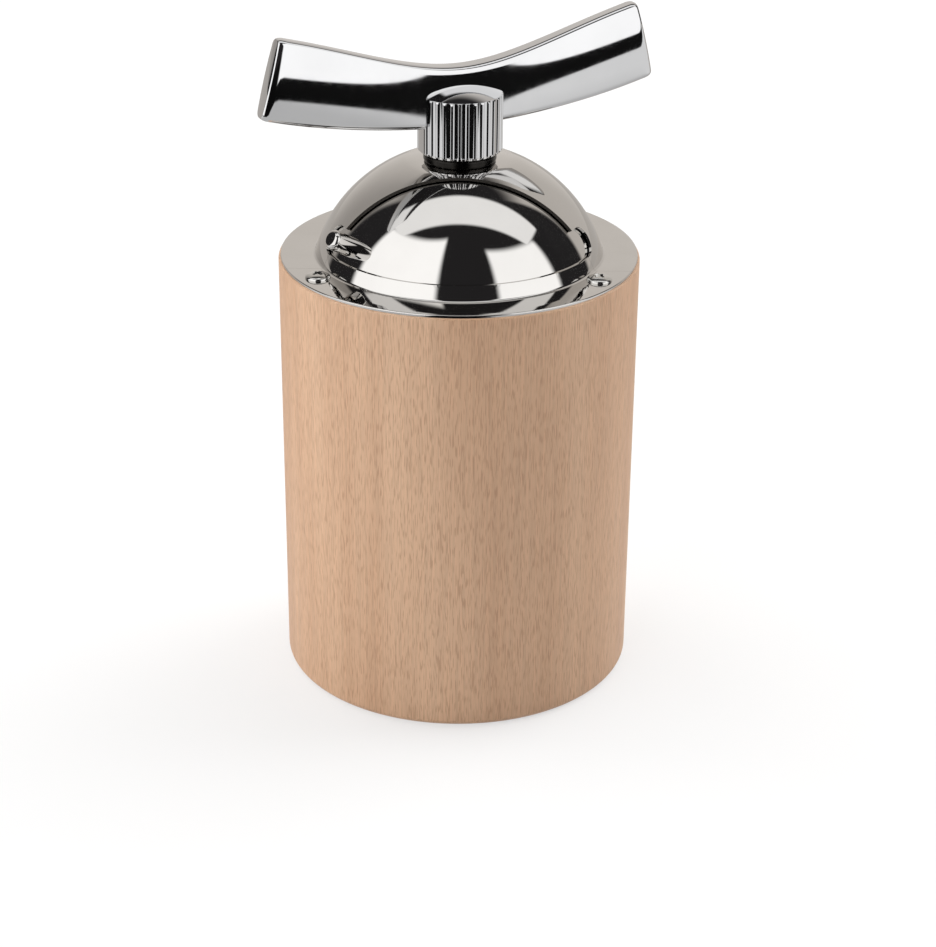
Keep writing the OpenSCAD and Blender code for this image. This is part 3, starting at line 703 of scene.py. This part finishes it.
def flute_dip(turn):
    """Depth of the knurling at a turn round the hub: 1 in a flute, 0 on a ridge and beside the bar."""
    from_bar = abs((360 * turn - BAR_TURN + 90) % 180 - 90)
    off = abs((turn * FLUTES + 0.5) % 1 - 0.5) * 2
    flank = min(1, max(0, (off - FLUTE_FLOOR) / FLUTE_FLANK))
    return 1 - flank * flank * (3 - 2 * flank) if from_bar > PLAIN_FLANK else 0.0


def hub_knob():
    """Fluted hub with a smooth cap, and the hole of its grub screw."""
    slope = math.radians(CAP_SLOPE)
    rim_r = HUB_R - HUB_ROUND * (1 - math.sin(slope))
    crown_r = rim_r / math.sin(slope)
    shoulder = cap_top - rim_r * math.tan(slope / 2) - HUB_ROUND * math.cos(slope)
    rows = [(HUB_R - HUB_CHAMFER, hub_z), (HUB_R, hub_z + HUB_CHAMFER)]
    rows += [(HUB_R, hub_z + HUB_CHAMFER + FLUTE_END), (HUB_R, shoulder - FLUTE_END)]
    rows += arc(HUB_R - HUB_ROUND, shoulder, HUB_ROUND, 0, 90 - CAP_SLOPE)
    rows += arc(0, cap_top - crown_r, crown_r, 90 - CAP_SLOPE, 90)[1:-1]
    count = FLUTES * FLUTE_COLUMNS
    loops = []
    for radius, height in rows:
        loop = []
        for k in range(count):
            reach = min(radius, HUB_R - FLUTE_DEPTH * flute_dip(k / count))
            angle = 2 * math.pi * k / count
            loop.append((reach * math.cos(angle), reach * math.sin(angle), height))
        loops.append(loop)
    hub = make_object("hub_knob", lofted(loops))
    hole = turned([(0, 0), (GRUB_R, 0), (GRUB_R, HUB_R), (0, HUB_R)])
    along = Matrix.Rotation(math.radians(-90), 4, "X")
    place = about_z(BAR_TURN) @ Matrix.Translation((0, HUB_R / 2, hub_z + GRUB_LIFT)) @ along
    cut(hub, [moved(hole, place)])
    dress(hub, "crank", "knurled_hub", "chromed_casting")


def bar_outline(tall, deep, bulge):
    """Section of the bar: two slightly round faces, joined above and below by rounded edges."""
    lean = math.atan(2 * bulge / (tall - BAR_ROUND))
    edge = tall - BAR_ROUND * (1 - math.sin(lean))
    half = []
    for i in range(-BAR_FACE_STEPS, BAR_FACE_STEPS + 1):
        share = i / BAR_FACE_STEPS
        half.append((deep - bulge * share ** 2, edge * share))
    middle = deep - bulge - BAR_ROUND * math.cos(lean)
    corner = []
    for i in range(BAR_CORNER_STEPS + 1):
        angle = lean + (math.pi / 2 - lean) * i / BAR_CORNER_STEPS
        corner.append((middle + BAR_ROUND * math.cos(angle), tall - BAR_ROUND * (1 - math.sin(angle))))
    half += corner[1:] + [(-y, z) for y, z in reversed(corner[1:])]
    return half + [(-y, -z) for y, z in half]


def bar_loop(x, along, inset):
    """One ring of the bar's skin at x, moved along the bar and shrunk for its rounded ends."""
    rise = math.sqrt(BAR_BEND ** 2 + (bar_slope * x) ** 2) - BAR_BEND
    lean = math.atan(bar_slope ** 2 * x / (rise + BAR_BEND))
    part = min(1, abs(x) / BAR_SWELL)
    growth = part * part * (3 - 2 * part)
    tall = (BAR_MID_H + (BAR_END_H - BAR_MID_H) * growth) / 2
    bulge = BAR_MID_BULGE + (BAR_END_BULGE - BAR_MID_BULGE) * growth
    loop = []
    for y, up in bar_outline(tall - inset, BAR_DEPTH / 2 - inset, bulge):
        loop.append((x + along * math.cos(lean) - up * math.sin(lean), y,
                     hub_z + BAR_LIFT + rise + along * math.sin(lean) + up * math.cos(lean)))
    return loop


def cast_bar():
    """Swept flat bar that bends up from the middle and grows towards its rounded ends."""
    reach = BAR_HALF - BAR_EDGE
    turns = [math.pi / 2 * i / BAR_EDGE_STEPS for i in range(1, BAR_EDGE_STEPS + 1)]
    edge = [(BAR_EDGE * math.sin(t), BAR_EDGE_IN * (1 - math.cos(t))) for t in turns]
    loops = [bar_loop(-reach, -along, inset) for along, inset in reversed(edge)]
    loops += [bar_loop(reach * i / BAR_STATIONS, 0, 0) for i in range(-BAR_STATIONS, BAR_STATIONS + 1)]
    loops += [bar_loop(reach, along, inset) for along, inset in edge]
    part = moved(lofted(loops), about_z(BAR_TURN))
    dress(make_object("cast_bar", part), "crank", "handle_bar", "chromed_casting")


def finish_inner_nodes():
    """Gives every CAD node the look of its slot, for those that stay shown."""
    for entry in frame["record"]["subparts"]:
        mesh = frame["nodes"][entry["node"]].data
        mesh.materials.clear()
        mesh.materials.append(LOOKS[entry["material_slot"]])


# Studio

def soft_box(tree, azimuth, rise, sides, top):
    """1 inside a soft box, whose top edge slopes with the azimuth."""
    front_rise, slope = top
    edge = calc(tree, "MULTIPLY_ADD", azimuth, slope, front_rise)
    upright = band(tree, calc(tree, "SUBTRACT", rise, edge), -BOX_HEIGHT, 0, BOX_SOFT)
    return calc(tree, "MULTIPLY", band(tree, azimuth, *sides, BOX_SOFT), upright)


def overhead_strip(tree, x, y, z):
    """1 inside the strip above the mill."""
    height = calc(tree, "MAXIMUM", z, HORIZON)
    strip = calc(tree, "MULTIPLY", band(tree, calc(tree, "DIVIDE", y, height), *STRIP_ALONG_Y),
                 band(tree, calc(tree, "DIVIDE", x, height), *STRIP_ALONG_X))
    return calc(tree, "MULTIPLY", strip, calc(tree, "GREATER_THAN", z, HORIZON))


def backdrop(tree, azimuth, rise):
    """Share of the backdrop behind the mill, which ends at both sides and above."""
    right_end = ramp(tree, azimuth, *BACK_RIGHT_EDGE)
    right = calc(tree, "MULTIPLY", right_end, ramp(tree, azimuth, *BACK_RIGHT_FADE))
    left_end = ramp(tree, azimuth, *BACK_LEFT_EDGE)
    left = calc(tree, "MULTIPLY", left_end, ramp(tree, azimuth, *BACK_LEFT_FADE))
    return calc(tree, "MULTIPLY", calc(tree, "MAXIMUM", right, left), ramp(tree, rise, *BACK_TOP))


def matt_fill(tree, azimuth, left_box, strip):
    """Level of the light that matt surfaces get."""
    sides = calc(tree, "ADD", ramp(tree, azimuth, *FILL_LEFT), ramp(tree, azimuth, *FILL_RIGHT))
    behind = calc(tree, "MULTIPLY", sides, ramp(tree, calc(tree, "ABSOLUTE", azimuth), *FILL_REAR))
    with_box = calc(tree, "MULTIPLY_ADD", left_box, FILL_FROM_BOX, behind)
    return calc(tree, "MULTIPLY_ADD", strip, FILL_FROM_STRIP, with_box)


def both_boxes(tree, left, right):
    """Level of the two soft boxes from their shares."""
    return calc(tree, "MULTIPLY_ADD", left, LEFT_LEVEL, calc(tree, "MULTIPLY", right, RIGHT_LEVEL))


def studio_world():
    """White to the camera; boxes, strip and backdrop to polished metal; a plain fill to matt surfaces."""
    world = bpy.data.worlds.new("studio")
    bpy.context.scene.world = world
    world.use_nodes = True
    tree = world.node_tree
    tree.nodes.clear()
    line = add(tree, "ShaderNodeTexCoord", {}).outputs["Generated"]
    x, y, z = add(tree, "ShaderNodeSeparateXYZ", {0: line}).outputs
    azimuth = azimuth_of(tree, x, y)
    rise = calc(tree, "DEGREES", calc(tree, "ARCSINE", z))
    left = soft_box(tree, azimuth, rise, LEFT_BOX, LEFT_BOX_TOP)
    right = soft_box(tree, azimuth, rise, RIGHT_BOX, RIGHT_BOX_TOP)
    strip = overhead_strip(tree, x, y, z)
    boxes = both_boxes(tree, left, right)
    lights = calc(tree, "MAXIMUM", boxes, calc(tree, "MULTIPLY", strip, STRIP_LEVEL))
    glow = blend(tree, backdrop(tree, azimuth, rise), DARK_COLOUR, BACK_COLOUR)
    mirrored = blend(tree, 1.0, glow, grey(tree, lights), "LIGHTEN")
    fill = grey(tree, matt_fill(tree, azimuth, left, strip))
    rays = add(tree, "ShaderNodeLightPath", {}).outputs
    seen = blend(tree, rays["Is Glossy Ray"], fill, mirrored)
    seen = blend(tree, rays["Is Camera Ray"], seen, WHITE)
    shine = add(tree, "ShaderNodeBackground", {"Color": seen, "Strength": 1.0})
    out = add(tree, "ShaderNodeOutputWorld", {})
    tree.links.new(shine.outputs[0], out.inputs[0])


def table_glow(tree):
    """What polished metal sees: the table, its end in front of the mill, and the boxes' feet beyond."""
    x, y, _ = add(tree, "ShaderNodeSeparateXYZ", {0: own_place(tree)}).outputs
    azimuth = azimuth_of(tree, x, y)
    left = band(tree, azimuth, *LEFT_BOX, BOX_SOFT)
    right = band(tree, azimuth, *RIGHT_BOX, BOX_SOFT)
    boxes = both_boxes(tree, left, right)
    far = calc(tree, "MULTIPLY", boxes, ramp(tree, y, BOX_FOOT + BOX_FOOT_SOFT, BOX_FOOT - BOX_FOOT_SOFT))
    sides = calc(tree, "MULTIPLY",
                 ramp(tree, calc(tree, "ABSOLUTE", x), *TABLE_SIDES, 0.0, TABLE_SIDE_LEVEL),
                 ramp(tree, y, 0.0, TABLE_REAR, 1.0, 0.0))
    middle = ramp(tree, y, 0.0, TABLE_REAR, TABLE_FRONT_LEVEL, TABLE_REAR_LEVEL)
    end = ramp(tree, y, TABLE_END - TABLE_END_SOFT, TABLE_END + TABLE_END_SOFT, TABLE_PAST_LEVEL, 1.0)
    near = calc(tree, "MULTIPLY", end, calc(tree, "ADD", middle, sides))
    tint = blend(tree, ramp(tree, y, 0.0, TABLE_REAR), WHITE, TABLE_WARMTH)
    level = calc(tree, "MAXIMUM", near, far)
    return add(tree, "ShaderNodeEmission", {"Color": tint, "Strength": level}).outputs[0]


def floor_material():
    """White table that keeps a soft shadow."""
    material = bpy.data.materials.new("white_table")
    material.use_nodes = True
    tree = material.node_tree
    tree.nodes.clear()
    rays = add(tree, "ShaderNodeLightPath", {}).outputs
    plain = add(tree, "ShaderNodeBsdfDiffuse", {"Color": TABLE_COLOUR}).outputs[0]
    white = add(tree, "ShaderNodeEmission", {"Color": WHITE, "Strength": 1.0}).outputs[0]
    seen = add(tree, "ShaderNodeMixShader", {0: TABLE_WHITE_SHARE, 1: plain, 2: white}).outputs[0]
    matt = add(tree, "ShaderNodeMixShader", {0: rays["Is Camera Ray"], 1: plain, 2: seen}).outputs[0]
    glow = table_glow(tree)
    shown = add(tree, "ShaderNodeMixShader", {0: rays["Is Glossy Ray"], 1: matt, 2: glow}).outputs[0]
    out = add(tree, "ShaderNodeOutputMaterial", {})
    tree.links.new(shown, out.inputs[0])
    return material


def studio_floor():
    """Flat table under the mill."""
    corners = [(-TABLE_HALF, -TABLE_HALF, 0), (TABLE_HALF, -TABLE_HALF, 0),
               (TABLE_HALF, TABLE_HALF, 0), (-TABLE_HALF, TABLE_HALF, 0)]
    floor = make_object("white_floor", (corners, [[0, 1, 2, 3]]))
    floor.data.materials.append(floor_material())


def photo_camera():
    """Camera at the photograph's viewing angle."""
    data = bpy.data.cameras.new("photo_camera")
    data.lens = CAMERA_LENS
    camera = bpy.data.objects.new("photo_camera", data)
    bpy.context.scene.collection.objects.link(camera)
    tilt = Matrix.Rotation(math.radians(90 - CAMERA_PITCH), 4, "X")
    roll = Matrix.Rotation(math.radians(CAMERA_ROLL), 4, "Z")
    camera.matrix_world = Matrix.Translation(CAMERA_PLACE) @ tilt @ roll
    bpy.context.scene.camera = camera


finish_inner_nodes()
turned_body()
cover_shell()
hatch_shell()
finger_pin()
cover_screw_set()
hub_knob()
cast_bar()
studio_world()
studio_floor()
photo_camera()
bpy.context.scene.view_settings.view_transform = "Standard"
